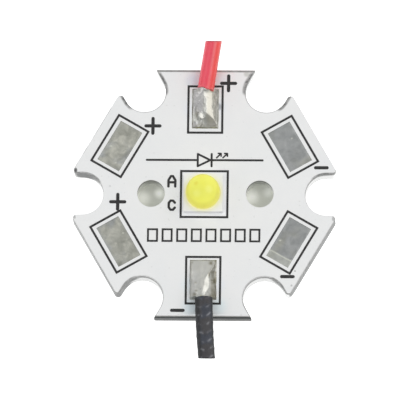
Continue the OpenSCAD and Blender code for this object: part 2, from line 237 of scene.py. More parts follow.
# ------------------------------------------------------------------ materials
def white_lacquer():
    s = Shader("white_lacquer")
    col = wear(s, (0.872, 0.880, 0.882), (0.905, 0.905, 0.900), 0.45, 9.0, 0.25)
    col = s.mix(s.math("MULTIPLY", s.near(-0.07, 0.0, 1.6, 1.7, 2.7), 0.8), col, (0.965, 0.968, 0.970))  # lit by the white plate
    # a few specks of dust and ink
    dust = s.noise(3.1, 1.0, 0.4)
    col = s.mix(s.span(dust, 0.735, 0.76, 0.0, 0.16, True), col, (0.42, 0.42, 0.40))
    for x, y, r, dark in ((7.277, -6.232, 0.10, 0.55), (7.014, -7.414, 0.12, 0.42), (-7.495, 0.621, 0.12, 0.22)):
        col = s.mix(s.math("MULTIPLY", s.near(x, y, 1.6, r * 0.4, r), dark), col, (0.18, 0.18, 0.18))
    # dark rims painted along the edges of the screw slots, as painted shade of the edges and of the walls below them
    ragged = s.span(s.noise(4.0, 3.0), 0.3, 0.7, 0.55, 1.0)
    for angle, x, y, reach, width, dark in ((60, 4.85, 8.4, 9.0, 0.12, 0.42), (120, -4.85, 8.4, 9.0, 0.12, 0.42), (60, 3.42, 9.05, 1.15, 0.32, 0.85), (120, -3.42, 9.05, 1.15, 0.26, 0.90),
                                            (60, 6.25, 7.55, 0.95, 0.32, 0.95), (120, -6.22, 7.60, 0.90, 0.30, 0.92), (0, 9.7, 0.0, 9.0, 0.07, 0.25), (0, 9.6, 1.7, 1.35, 0.17, 0.85),
                                            (180, -9.7, 0.0, 9.0, 0.07, 0.22), (180, -9.2, 1.65, 1.4, 0.15, 0.75), (240, -4.85, -8.4, 9.0, 0.12, 0.40), (240, -6.2, -7.5, 1.3, 0.17, 0.70),
                                            (300, 4.85, -8.4, 9.0, 0.12, 0.40), (300, 6.1, -7.3, 1.1, 0.14, 0.70), (300, 3.75, -9.0, 0.8, 0.12, 0.60)):
        rim = s.span(s.slot_edge(angle), width * 0.45, width, dark, 0.0, True)
        col = s.mix(s.math("MULTIPLY", s.math("MULTIPLY", rim, s.near(x, y, 1.6, reach * 0.6, reach)), ragged), col, (0.07, 0.07, 0.065))
    for angle, start, dark, keep in ((150, 9.93, 0.50, 0.0), (210, 9.96, 0.45, 0.6), (330, 9.95, 0.50, 0.8)):
        frayed = s.math("MULTIPLY", s.span(s.along(angle), start, 10.03, 0.0, dark, True), s.span(s.noise(1.6, 3.0), 0.46, 0.58, keep, 1.0))
        col = s.mix(frayed, col, (0.16, 0.17, 0.17))
    for x, y, r, dark in ((-10.24, 1.90, 0.20, 0.95), (-10.26, -1.92, 0.14, 0.45), (10.28, -1.95, 0.20, 0.45)):
        col = s.mix(s.math("MULTIPLY", s.near(x, y, 1.6, r * 0.4, r, (1.2, 0.7, 1.0)), dark), col, (0.08, 0.08, 0.08))
    col = s.mix(s.math("MULTIPLY", s.near(3.25, 9.85, 1.6, 0.10, 0.34), 0.6), col, (0.50, 0.50, 0.45))
    # painted shade with a bluish cast beside the two leads and the two joints
    for x, y, r, amount, tint in ((-1.0, 9.3, 0.85, 0.50, (0.70, 0.78, 0.90)), (1.25, 9.35, 0.9, 0.50, (0.78, 0.88, 0.93)), (-0.95, -9.2, 1.0, 0.75, (0.80, 0.91, 0.95)),
                                  (1.25, -9.1, 1.0, 0.75, (0.82, 0.92, 0.95)), (-1.17, -7.4, 0.9, 0.60, (0.82, 0.91, 0.94)), (1.17, -7.4, 0.9, 0.50, (0.84, 0.88, 0.94)), (-1.19, 6.9, 0.9, 0.35, (0.82, 0.85, 0.92)), (1.2, 7.1, 0.7, 0.4, (0.78, 0.83, 0.90))):
        col = s.mix(s.math("MULTIPLY", s.near(x, y, 1.6, r * 0.2, r), amount), col, tint)
    # painted shade: a dark bluish line beside the right edge of the positive joint
    col = s.mix(s.math("MULTIPLY", s.near(1.13, 7.15, 1.6, 0.05, 0.20, (1.0, 0.5, 1.0)), 0.6), col, (0.16, 0.17, 0.19))
    peel = s.noise(5.5, 2.0, 0.5)
    grit = s.noise(42.0, 2.0, 0.6)
    rough = s.span(s.noise(2.2, 3.0), 0.3, 0.7, 0.40, 0.52)
    # painted light: the lacquer just in front of the emitter plate glows a little, lifting the shade there
    s.set(Base_Color=col, Roughness=rough, Specular_IOR_Level=0.30, Emission_Color=(0.96, 0.99, 1.0),
          Emission_Strength=s.math("MULTIPLY", s.near(-0.07, -1.62, 1.6, 0.35, 0.60, (0.25, 1.0, 1.0)), 0.10),
          Normal=s.bump(grit, 0.002, 0.5, s.bump(peel, 0.006, 0.6)))
    return s.mat


def black_print():
    s = Shader("black_print")
    col = wear(s, (0.020, 0.020, 0.021), (0.044, 0.043, 0.042), 2.4, 26.0, 0.5)
    s.set(Base_Color=col, Roughness=s.span(s.noise(18.0), 0.3, 0.7, 0.45, 0.65), Specular_IOR_Level=0.3,
          Normal=s.bump(s.noise(30.0, 3.0), 0.004, 0.6))
    return s.mat


def bare_aluminium():
    s = Shader("bare_aluminium")
    level = s.span(s.facing_up(), 0.55, 0.95, 0.0, 1.0, True)
    # rolled grain on the underside, bright cutter marks in the slots, and torn metal on the two scored flats, painted
    # near black as shade
    grain = s.noise(6.0, 4.0, 0.65, vec=s.stretch(0.12, 4.0, 1.0))
    cut = s.noise(5.0, 4.0, 0.6, vec=s.stretch(3.0, 3.0, 0.25))
    smear = s.noise(1.1, 4.0, 0.6, 0.4)
    face = s.ramp(s.math("ADD", s.math("MULTIPLY", grain, 0.6), s.math("MULTIPLY", smear, 0.4)),
                  (0.30, (0.60, 0.605, 0.61)), (0.72, (0.80, 0.80, 0.80)))
    mix = s.math("ADD", s.math("MULTIPLY", cut, 0.55), s.math("MULTIPLY", smear, 0.45))
    outline = s.span(s.reach(), 6.6, 7.0, 0.0, 1.0)
    drilled = s.ramp(mix, (0.28, (0.84, 0.845, 0.84)), (0.75, (0.95, 0.95, 0.94)))
    routed = s.ramp(mix, (0.28, (0.56, 0.565, 0.565)), (0.75, (0.70, 0.70, 0.695)))
    bright = s.mix(outline, drilled, routed)
    torn_and_shade = s.ramp(mix, (0.28, (0.040, 0.043, 0.043)), (0.75, (0.110, 0.114, 0.112)))
    # painted shade: the right end of the lower scored flat is darker still
    right_end = s.math("MULTIPLY", s.span(s.axis(0), 0.4, 1.4, 0.0, 0.32, True), s.span(s.axis(1), -9.7, -9.5, 1.0, 0.0))
    torn_and_shade = s.mix(right_end, torn_and_shade, (0.012, 0.013, 0.012))
    z = s.axis(2)
    # stains and painted shade: the walls darken towards their top edge, and the spots below darken set places on them;
    # the last two are painted shade on the far walls of the two holes
    stain_and_shade = s.math("MULTIPLY", s.span(s.math("ADD", z, s.math("MULTIPLY", smear, 0.35)), 1.22, 1.44, 0.0, 1.0, True), 0.88)
    for x, y, zz, flat, inner, outer, dark in ((-9.45, 1.68, 1.05, 1.3, 0.65, 1.10, 1.0), (-8.70, 1.45, 1.20, 1.0, 0.50, 0.90, 0.95), (-6.45, -7.60, 1.10, 1.6, 0.75, 1.35, 0.95), (-5.75, -7.00, 1.30, 0.90, 0.45, 1.00, 0.95),
                                               (-4.30, -6.75, 1.55, 0.55, 0.30, 0.90, 0.80), (4.25, -6.75, 1.60, 0.55, 0.25, 0.70, 0.50), (6.00, -7.15, 1.25, 1.0, 0.45, 0.95, 0.95), (6.75, -8.05, 1.5, 0.40, 0.35, 0.80, 0.85),
                                               (3.38, 9.00, 1.40, 0.65, 0.50, 0.95, 0.97), (-3.42, 9.00, 1.40, 0.65, 0.50, 0.95, 0.97), (9.55, 1.68, 1.45, 0.50, 0.45, 0.95, 0.95),
                                               (-4.23, 1.10, 1.05, 0.9, 0.30, 1.05, 0.48), (4.41, 1.10, 1.05, 0.9, 0.30, 1.05, 0.44)):
        spot = s.math("MULTIPLY", s.near(x, y, zz, inner, outer, (1.0, 1.0, 1.0 / flat)), dark)
        stain_and_shade = s.math("MAXIMUM", stain_and_shade, spot)
    # painted shade: the walls of the two lower routed flats are darker than the upper ones
    lift = s.math("ADD", z, s.span(s.along(-30, True), -4.1, -2.7, 0.0, 0.60, True))
    stain_and_shade = s.math("MAXIMUM", stain_and_shade, s.math("MULTIPLY", s.span(s.along(-30), 9.90, 10.0, 0.0, 0.96, True), s.span(lift, 0.45, 0.90, 0.0, 1.0, True)))
    stain_and_shade = s.math("MAXIMUM", stain_and_shade, s.span(s.along(210), 9.90, 10.0, 0.0, 0.80, True))
    line = s.math("MULTIPLY", s.span(s.along(210, True), -4.5, 1.8, 0.0, 0.98, True), s.span(z, 0.30, 0.65, 0.0, 1.0, True))
    stain_and_shade = s.math("MAXIMUM", stain_and_shade, s.math("MULTIPLY", s.span(s.along(210), 9.90, 10.0, 0.0, 1.0, True), line))
    scored = s.math("MULTIPLY", s.span(s.normal_part(1), 0.52, 0.60, 0.0, 1.0), s.span(s.math("ABSOLUTE", s.axis(1)), 9.6, 9.7, 0.0, 1.0))
    dirt_and_shade = s.math("MAXIMUM", stain_and_shade, scored)
    edge = s.mix(dirt_and_shade, bright, torn_and_shade)
    # the outer walls that face the positive lead are darker all the way down
    away = s.math("MULTIPLY", s.span(s.normal_part(1, True), 0.08, 0.35, 0.0, 0.85, True), outline)
    edge = s.mix(s.math("MULTIPLY", away, s.math("SUBTRACT", 1.0, dirt_and_shade)), edge, (0.205, 0.21, 0.21))
    rolled = s.math("MULTIPLY", level, s.math("SUBTRACT", 1.0, scored))
    col = s.mix(rolled, edge, face)
    rough = s.math("ADD", s.span(cut, 0.3, 0.7, 0.26, 0.40), s.math("MULTIPLY", scored, 0.12))
    marks = s.math("ADD", s.math("MULTIPLY", cut, 0.7), s.math("MULTIPLY", grain, 0.5))
    s.set(Base_Color=col, Metallic=s.span(s.math("MULTIPLY", dirt_and_shade, s.math("SUBTRACT", 1.0, rolled)), 0.6, 0.9, 0.85, 0.15), Roughness=rough, Specular_IOR_Level=0.25, Normal=s.bump(marks, 0.010, 0.5))
    return s.mat


def plain(name, low, high, metallic, rough_lo, rough_hi, scale=2.0, fine=22.0, depth=0.004, spec=0.5):
    s = Shader(name)
    s.set(Base_Color=wear(s, low, high, scale, fine, 0.4), Metallic=metallic, Specular_IOR_Level=spec,
          Roughness=s.span(s.noise(scale * 2.0), 0.3, 0.7, rough_lo, rough_hi),
          Normal=s.bump(s.noise(fine, 3.0), depth, 0.5))
    return s.mat


def tinned_pad():
    s = Shader("tinned_pad")
    cloud = s.noise(1.5, 4.0, 0.6, 0.5)
    hue = s.noise(0.55, 2.0, 0.5, 0.3)
    grain = s.noise(24.0, 3.0, 0.6)
    f = s.math("ADD", s.math("MULTIPLY", cloud, 0.74), s.math("MULTIPLY", grain, 0.26))
    warm = s.ramp(f, (0.30, (0.300, 0.302, 0.255)), (0.50, (0.465, 0.465, 0.410)), (0.70, (0.660, 0.650, 0.57)))
    cool = s.ramp(f, (0.30, (0.305, 0.318, 0.325)), (0.50, (0.450, 0.465, 0.475)), (0.70, (0.62, 0.63, 0.635)))
    col = s.mix(s.span(s.math("SUBTRACT", hue, s.math("MULTIPLY", s.attr("warmth"), 0.35)), 0.20, 0.45, 0.0, 1.0, True), warm, cool)
    col = s.mix(s.math("MULTIPLY", s.attr("dull"), 0.5), col, (0.29, 0.295, 0.28))
    col = s.mix(s.math("MULTIPLY", s.attr("pale"), 0.8), col, (0.70, 0.71, 0.62))
    s.set(Base_Color=col, Metallic=0.92, Roughness=s.span(cloud, 0.3, 0.7, 0.32, 0.48),
          Normal=s.bump(grain, 0.004, 0.5, s.bump(cloud, 0.012, 0.4)))
    return s.mat


def solder():
    s = Shader("solder")
    cloud = s.noise(2.2, 3.0, 0.55, 0.6)
    grain = s.noise(30.0, 3.0, 0.6)
    grey = s.ramp(cloud, (0.30, (0.535, 0.54, 0.505)), (0.70, (0.71, 0.705, 0.66)))
    # cream and lilac tarnish, and amber flux that has gathered along the edges
    col = s.mix(s.math("MULTIPLY", s.attr("pale"), 0.7), grey, (0.68, 0.68, 0.645))
    col = s.mix(s.math("MULTIPLY", s.attr("cream"), 0.60), col, (0.53, 0.507, 0.436))
    col = s.mix(s.math("MULTIPLY", s.attr("lilac"), 0.55), col, (0.605, 0.585, 0.60))
    patchy = s.span(s.noise(2.0, 3.0), 0.35, 0.62, 0.45, 1.0)
    col = s.mix(s.math("MULTIPLY", s.attr("flux"), patchy), col, (0.20, 0.185, 0.13))
    s.set(Base_Color=col, Metallic=0.95, Roughness=s.span(cloud, 0.3, 0.7, 0.27, 0.36),
          Normal=s.bump(grain, 0.002, 0.3, s.bump(cloud, 0.012, 0.3)))
    return s.mat


def red_sleeve():
    s = Shader("red_sleeve")
    streak = s.noise(3.0, 4.0, 0.6, vec=s.stretch(4.0, 0.35, 4.0))
    spot = s.noise(11.0, 2.0)
    f = s.math("ADD", s.math("MULTIPLY", streak, 0.7), s.math("MULTIPLY", spot, 0.3))
    cool = s.ramp(f, (0.30, (0.83, 0.070, 0.112)), (0.70, (0.90, 0.090, 0.135)))
    warm = s.ramp(f, (0.30, (0.83, 0.070, 0.066)), (0.70, (0.90, 0.088, 0.080)))
    # painted light and shade: a warmer red on the right side, a lighter stripe right of the middle as painted
    # highlight, and darker edges and cut end as painted shade
    col = s.mix(s.attr("warm"), cool, warm)
    col = s.mix(s.math("MULTIPLY", s.attr("shine"), 0.55), col, (0.90, 0.225, 0.225))
    col = s.mix(s.math("MULTIPLY", s.attr("grime"), 0.8), col, (0.16, 0.012, 0.03))
    col = s.mix(s.math("MULTIPLY", s.attr("melt"), 0.5), col, (0.84, 0.30, 0.28))
    s.set(Base_Color=col, Roughness=s.span(streak, 0.3, 0.7, 0.26, 0.36), Specular_IOR_Level=0.5,
          Subsurface_Weight=0.12, Subsurface_Scale=0.0003, Subsurface_Radius=(1.0, 0.25, 0.2),
          Normal=s.bump(spot, 0.003, 0.5, s.bump(streak, 0.010, 0.5)))
    return s.mat


def black_sleeve():
    s = Shader("black_sleeve")
    over = s.attr("crown")
    fibre = s.noise(9.0, 4.0, 0.65)
    blot = s.noise(1.6, 3.0, 0.6, 0.4)
    f = s.math("ADD", s.math("MULTIPLY", over, 0.30), s.math("ADD", s.math("MULTIPLY", fibre, 0.35), s.math("MULTIPLY", blot, 0.35)))
    cool = s.ramp(f, (0.25, (0.034, 0.039, 0.052)), (0.75, (0.082, 0.088, 0.112)))
    warm = s.ramp(f, (0.25, (0.042, 0.040, 0.043)), (0.75, (0.092, 0.088, 0.092)))
    col = s.mix(s.span(s.noise(0.7, 2.0), 0.42, 0.58, 0.0, 1.0, True), cool, warm)
    col = s.mix(s.attr("shade"), col, (0.010, 0.011, 0.012))
    # painted glints: the crowns of the ribs are painted lighter in small flecks, where the lamps catch them
    col = s.mix(s.math("MULTIPLY", over, s.span(fibre, 0.3, 0.62, 0.35, 1.0)), col, (0.21, 0.215, 0.235))
    gloss = s.math("MULTIPLY", over, s.span(s.noise(3.4, 2.0), 0.36, 0.60, 0.25, 1.0))
    rough = s.span(gloss, 0.15, 0.85, 0.72, 0.24, True)
    s.set(Base_Color=col, Roughness=rough, Specular_IOR_Level=0.5,
          Normal=s.bump(fibre, 0.008, 0.5))
    return s.mat


def white_ceramic():
    s = Shader("white_ceramic")
    col = wear(s, (0.885, 0.885, 0.905), (0.93, 0.93, 0.945), 1.4, 34.0, 0.4)
    # the dome throws some yellow on the plate, and the thin plate passes a little light on to its sides
    col = s.mix(s.math("MULTIPLY", s.near(-0.07, 0.0, 2.21, 1.36, 1.80), 0.85), col, (0.93, 0.915, 0.68))
    s.set(Base_Color=col, Roughness=s.span(s.noise(2.8), 0.3, 0.7, 0.42, 0.55), Specular_IOR_Level=0.4,
          Emission_Color=(0.95, 0.98, 1.0), Emission_Strength=s.span(s.facing_up(), 0.3, 0.8, 0.05, 0.03),
          Normal=s.bump(s.noise(34.0, 3.0), 0.003, 0.5))
    return s.mat


def phosphor():
    s = Shader("phosphor_silicone")
    cloud = s.noise(1.3, 3.0, 0.5)
    speck = s.noise(20.0, 2.0)
    f = s.math("ADD", s.math("MULTIPLY", cloud, 0.75), s.math("MULTIPLY", speck, 0.25))
    col = s.ramp(f, (0.30, (0.560, 0.545, 0.085)), (0.70, (0.585, 0.580, 0.105)))
    col = s.mix(s.attr("rim"), col, (0.72, 0.71, 0.56))
    # darker orange patches towards the upper left, and two pale patches that are painted highlights of the two lamps
    for x, y, z, r, amount, tint in ((-0.59, 0.34, 3.88, 0.30, 0.55, (0.50, 0.40, 0.03)), (-0.15, 0.95, 3.60, 0.60, 0.40, (0.58, 0.49, 0.06)), (-1.1, 0.1, 3.4, 0.5, 0.35, (0.58, 0.49, 0.06)),
                                     (0.46, -0.15, 3.92, 0.46, 0.45, (0.64, 0.64, 0.25)), (-0.52, -0.48, 3.86, 0.46, 0.42, (0.64, 0.64, 0.24))):
        col = s.mix(s.math("MULTIPLY", s.near(x, y, z, r * 0.2, r), amount), col, tint)
    # light that the phosphor scatters back out, most of it near the foot
    glow = s.mix(s.attr("low"), (0.87, 0.885, 0.150), (0.90, 0.815, 0.105))
    glow = s.mix(s.attr("rim"), glow, (0.95, 0.88, 0.56))
    s.set(Base_Color=col, Roughness=s.span(speck, 0.3, 0.7, 0.40, 0.48), Specular_IOR_Level=0.22,
          Subsurface_Weight=0.8, Subsurface_Scale=0.0006, Subsurface_Radius=(1.0, 0.95, 0.35),
          # painted light: the glow is also raised on the side towards the negative lead
          Emission_Color=glow, Emission_Strength=s.math("ADD", s.span(s.attr("low"), 0.15, 0.75, 0.375, 0.275, True), s.span(s.axis(1), -1.25, -0.35, 0.085, 0.0, True)),
          Normal=s.bump(speck, 0.002, 0.4))
    return s.mat


LACQUER, INK, ALU, TIN, SOLDER = white_lacquer(), black_print(), bare_aluminium(), tinned_pad(), solder()
RED, BLACK, PHOSPHOR = red_sleeve(), black_sleeve(), phosphor()
FILM = plain("dielectric", (0.25, 0.25, 0.245), (0.41, 0.41, 0.40), 0.0, 0.5, 0.7)
COPPER = plain("copper_foil", (0.62, 0.30, 0.17), (0.78, 0.42, 0.26), 1.0, 0.25, 0.40)
CERAMIC = white_ceramic()
GOLD = plain("gold_contact", (0.78, 0.54, 0.20), (0.90, 0.68, 0.32), 1.0, 0.2, 0.35)
CHIP = plain("chip", (0.12, 0.16, 0.24), (0.20, 0.26, 0.36), 0.0, 0.12, 0.22)
STRAND = plain("tinned_strand", (0.60, 0.56, 0.50), (0.80, 0.77, 0.72), 1.0, 0.22, 0.36, 3.0, 30.0, 0.004)
UNDER_SOLDER = plain("reflow_solder", (0.62, 0.62, 0.60), (0.78, 0.78, 0.76), 0.95, 0.28, 0.42)

BY_SLOT = {"bare_aluminium": ALU, "dielectric": FILM, "copper_foil": COPPER, "white_lacquer": LACQUER, "black_print": INK,
           "tinned_pad": TIN, "solder": UNDER_SOLDER, "red_sleeve": RED, "black_sleeve": BLACK, "tinned_strand": STRAND,
           "white_ceramic": CERAMIC, "gold_contact": GOLD, "chip": CHIP, "phosphor_silicone": PHOSPHOR}
for part in frame["record"]["subparts"]:
    o = nodes[part["node"]]
    o.data.materials.clear()
    o.data.materials.append(BY_SLOT[part["material_slot"]])


# ------------------------------------------------------------------ mesh helpers
def piece(name, verts, faces, material, stands_for, attrs=None):
    """A closed, smooth mesh in millimetres that takes the place of CAD nodes."""
    me = bpy.data.meshes.new(name)
    me.from_pydata((np.asarray(verts, float) * MM).tolist(), [], faces)
    for key, values in (attrs or {}).items():
        a = me.attributes.new(key, "FLOAT", "POINT")
        a.data.foreach_set("value", np.clip(np.asarray(values, np.float32), 0.0, 1.0))
    b = bmesh.new()
    b.from_mesh(me)
    bmesh.ops.recalc_face_normals(b, faces=b.faces)
    b.to_mesh(me)
    b.free()
    me.polygons.foreach_set("use_smooth", np.ones(len(me.polygons), bool))
    me.materials.append(material)
    me.update()
    o = bpy.data.objects.new(name, me)
    scene.collection.objects.link(o)
    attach(o, "root")
    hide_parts(*stands_for)
    return o


def rumble(x, y, z, scale, seed=0.0):
    """Smooth noise between about -1 and 1 at each point of the arrays."""
    x, y, z = np.broadcast_arrays(np.asarray(x, float), np.asarray(y, float), np.asarray(z, float))
    a, b, c = (x * scale + seed).ravel(), (y * scale - seed * 0.7).ravel(), (z * scale + seed * 1.3).ravel()
    return np.array([noise.noise((p, q, r)) for p, q, r in zip(a.tolist(), b.tolist(), c.tolist())]).reshape(x.shape)


def smooth_min(values, k):
    m = np.minimum.reduce(values)
    return m - np.log(sum(np.exp(-k * (v - m)) for v in values)) / k


def smooth_max(values, k):
    return -smooth_min([-v for v in values], k)


def ease(t):
    t = np.clip(t, 0.0, 1.0)
    return t * t * (3.0 - 2.0 * t)


def hump(x, y, cx, cy, rx, ry=None):
    """A bell of height 1 around a point."""
    return np.exp(-((x - cx) / rx) ** 2 - ((y - cy) / (ry or rx)) ** 2)


def sheet_solid(name, nu, nv, place, floor_z, material, stands_for):
    """A closed body over a patch: place(u, v) gives x, y, the top's z and the extra values, u and v from -1 to 1."""
    u, v = np.meshgrid(np.linspace(-1, 1, nu), np.linspace(-1, 1, nv))
    x, y, z, more = place(u, v)
    top = np.stack([x.ravel(), y.ravel(), z.ravel()], 1)
    ring = [i for i in range(nu)] + [j * nu + nu - 1 for j in range(1, nv)]
    ring += [(nv - 1) * nu + i for i in range(nu - 2, -1, -1)] + [j * nu for j in range(nv - 2, 0, -1)]
    skirt = top[ring].copy()
    skirt[:, 2] = floor_z
    faces = [(j * nu + i, j * nu + i + 1, (j + 1) * nu + i + 1, (j + 1) * nu + i) for j in range(nv - 1) for i in range(nu - 1)]
    n, base = len(ring), len(top)
    faces += [(ring[i], base + i, base + (i + 1) % n, ring[(i + 1) % n]) for i in range(n)]
    faces.append(tuple(base + i for i in range(n)))
    extra = {k: np.concatenate([w.ravel(), w.ravel()[ring]]) for k, w in more.items()}
    return piece(name, np.concatenate([top, skirt]), faces, material, stands_for, extra)


def route(*points):
    """Line or smooth curve through two or three points. The result maps distances to points, cross directions and course."""
    p = [np.array(q, float) for q in points]
    at = np.concatenate([[0.0], np.cumsum([np.linalg.norm(p[i + 1] - p[i]) for i in range(len(p) - 1)])])

    def point(s):
        s = s[..., None]
        if len(p) == 2:
            return p[0] + (p[1] - p[0]) * (s / at[1])
        out = 0.0
        for i in range(3):
            w = 1.0
            for j in range(3):
                if j != i:
                    w = w * (s - at[j]) / (at[i] - at[j])
            out = out + w * p[i]
        return out

    def path(s):
        s = np.asarray(s, float)
        t = point(s + 0.01) - point(s - 0.01)
        t /= np.linalg.norm(t, axis=-1, keepdims=True)
        e1 = np.cross(t, np.array([0.0, 0.0, 1.0]))
        e1 /= np.linalg.norm(e1, axis=-1, keepdims=True)
        return point(s), e1, np.cross(e1, t), t

    return path, at[-1]


CUT = math.radians(13.65)
CUT_N = np.array([0.0, math.cos(CUT), math.sin(CUT)])  # the lead ends are cut on this plane


def cut_at(path, length, end, r, a):
    """Distance along the path at which each line of the wall meets the cut plane."""
    s = np.full(np.broadcast(r, a).shape, length)
    for _ in range(3):
        p, e1, e2, t = path(s)
        off = (p + np.asarray(r)[..., None] * (np.cos(a)[..., None] * e1 + np.sin(a)[..., None] * e2) - end) @ CUT_N
        s = s - off / (t @ CUT_N)
    return s


def tube_solid(name, path, outside, inside, segments, shape, material, stands_for):
    """A closed tube: outside and inside list the rings' places from 0 to 1, and shape(t, angle, inner) gives distances,
    radii and extra values."""
    a = np.linspace(0, 2 * math.pi, segments, endpoint=False)
    to, ao = np.meshgrid(np.asarray(outside), a, indexing="ij")
    ti, ai = np.meshgrid(np.asarray(inside), a, indexing="ij")
    s1, r1, m1 = shape(to, ao, False)
    s2, r2, m2 = shape(ti, ai, True)
    s, r, ang = np.concatenate([s1, s2]), np.concatenate([r1, r2]), np.concatenate([ao, ai])
    p, e1, e2, _ = path(s)
    verts = (p + r[..., None] * (np.cos(ang)[..., None] * e1 + np.sin(ang)[..., None] * e2)).reshape(-1, 3)
    n = len(s)
    faces = [(j * segments + i, j * segments + (i + 1) % segments, (j + 1) % n * segments + (i + 1) % segments, (j + 1) % n * segments + i)
             for j in range(n) for i in range(segments)]
    extra = {k: np.concatenate([m1[k], m2[k]]).ravel() for k in m1}
    return piece(name, verts, faces, material, stands_for, extra)


# ------------------------------------------------------------------ tinned pads
PAD_W, PAD_L, PAD_C = 1.98, 3.64, 7.8


def tin_coat(name, node, angle, seed, tarnish, warmth, bumps, crease=None):
    c, s = math.cos(math.radians(angle)), math.sin(math.radians(angle))

    def place(u, v):
        p, q = u * PAD_W / 2, v * PAD_L / 2
        x, y = c * (PAD_C + p) - s * q, s * (PAD_C + p) + c * q
        edge = np.minimum(PAD_W / 2 - abs(p), PAD_L / 2 - abs(q))
        z = 1.562 + 0.016 * ease(edge / 0.14)
        z = z + 0.0045 * rumble(p, q, 0, 1.3, seed) + 0.002 * rumble(p, q, 0, 4.0, seed)
        pale = np.zeros_like(z)
        if crease is not None:
            over = (crease - q) + 0.03 * rumble(p, q, 0, 2.0, 5.0)
            z = z + 0.022 * np.exp(-((over / 0.055) ** 2)) + 0.004 * ease(over / 0.1)
            pale = np.maximum(0.42 * ease((over + 0.02) / 0.06), np.exp(-((over / 0.06) ** 2)))
        for bx, by, br, bh in bumps:
            b = hump(x, y, bx, by, br)
            z = z + bh * b
            pale = np.maximum(pale, b ** 1.5)
        dull = tarnish + (1.0 - ease(edge / 0.30)) * (0.55 + 0.45 * rumble(p, q, 0, 1.1, seed + 3.0))
        return x, y, z, {"pale": pale, "dull": dull, "warmth": np.full_like(z, warmth)}

    sheet_solid(name, 60, 110, place, 1.551, TIN, [node])


tin_coat("upper_left_tin_coat", "upper_left_pad_tin", 150, 1.7, 0.04, 0.95, [(-7.467, 3.897, 0.10, 0.030), (-7.06, 2.55, 0.09, 0.012)])
tin_coat("lower_left_tin_coat", "lower_left_pad_tin", 210, 4.1, 0.26, 0.75, [(-6.4, -3.2, 0.08, 0.010)])
tin_coat("upper_right_tin_coat", "upper_right_pad_tin", 30, 7.3, 0.98, 0.20, [(6.9, 4.6, 0.07, 0.008)])
tin_coat("lower_right_tin_coat", "lower_right_pad_tin", 330, 9.9, 1.16, 0.25, [(6.058, -3.75, 0.08, 0.026)], -1.26)


# ------------------------------------------------------------------ solder joints
def joint_place(side, lead_x, seed, height, colour):
    def place(u, v):
        lap = 0.030 + 0.030 * rumble(u, v * 1.5, 0, 2.2, seed) + 0.012 * rumble(u, v * 1.5, 0, 6.0, seed)
        x, y = u * (1.03 + lap), side * 6.98 + v * (1.585 + lap)
        under = ease((0.62 - abs(x - lead_x)) / 0.2)  # the solder stays thick where it meets the lead
        back = (1.585 + lap) * (1 - v * side) + 0.3 * under
        edge = np.minimum(np.minimum((1.03 + lap) * (1 - abs(u)), (1.585 + lap) * (1 + v * side)), back)
        h = height(x, y) + 0.010 * rumble(x, y, 0, 1.5, seed) + 0.004 * rumble(x, y, 0, 4.5, seed)
        h = 0.006 + (h - 0.006) * ease(edge / 0.12)
        return x, y, 1.6 + h, colour(x, y, edge)

    return place


def bend(t, k=26.0):
    """0 before a crease and t after it, with a small rounding."""
    return np.logaddexp(0.0, k * t) / k


def top_height(x, y):
    p = x + 0.045 * rumble(x, y, 0, 2.6, 31.0) + 0.020 * rumble(x, y, 0, 6.0, 17.0)
    q = y + 0.060 * rumble(x, y, 0, 2.4, 23.0)
    ridge = 0.03 - 0.19 * ease((q - 7.55) / 0.35)  # the crest leans left near the sleeve
    crest = 0.66 + 0.14 * (q - 6.54)
    right = crest - 0.385 * (p - ridge)
    left = 0.06 + (crest - 0.06) * (p + 0.98) / (0.98 + ridge) - 0.30 * bend(6.15 - q, 14.0)
    steep = 0.05 + (1.43 - 0.147 * (8.0 - q)) * (0.97 - p)
    front = 0.66 + 0.71 * (q - 6.54) + 1.1 * bend(-0.16 - p, 20.0)
    z = smooth_min([smooth_min([left, front], 60.0), smooth_min([right, steep], 26.0)], 34.0)
    z = smooth_max([z, 0.075 + 0.02 * rumble(x, y, 0, 2.4, 12.0)], 40.0)
    z = z + (0.022 * rumble(x, y * 0.7, 0, 3.6, 5.0) + 0.008 * rumble(x, y, 0, 9.0, 2.0)) * ease(-x / 0.25)  # the left flank is uneven
    lump = ease((0.40 - np.hypot(x + 0.33, y - 6.33) - 0.05 * rumble(x, y, 0, 3.4, 9.0)) / 0.26)
    z = z + lump * (0.48 - 0.27 * (x + 0.33) - 0.35 * (x + 0.33) ** 2 + 0.10 * (y - 6.33) - z)
    for px, py in ((-0.10, 7.32), (-0.15, 7.12), (-0.12, 6.92)):
        z = z + 0.030 * hump(x, y, px, py, 0.06, 0.07)
    return z + 0.15 * hump(x, y, 0.0, 8.46, 0.40, 0.26)


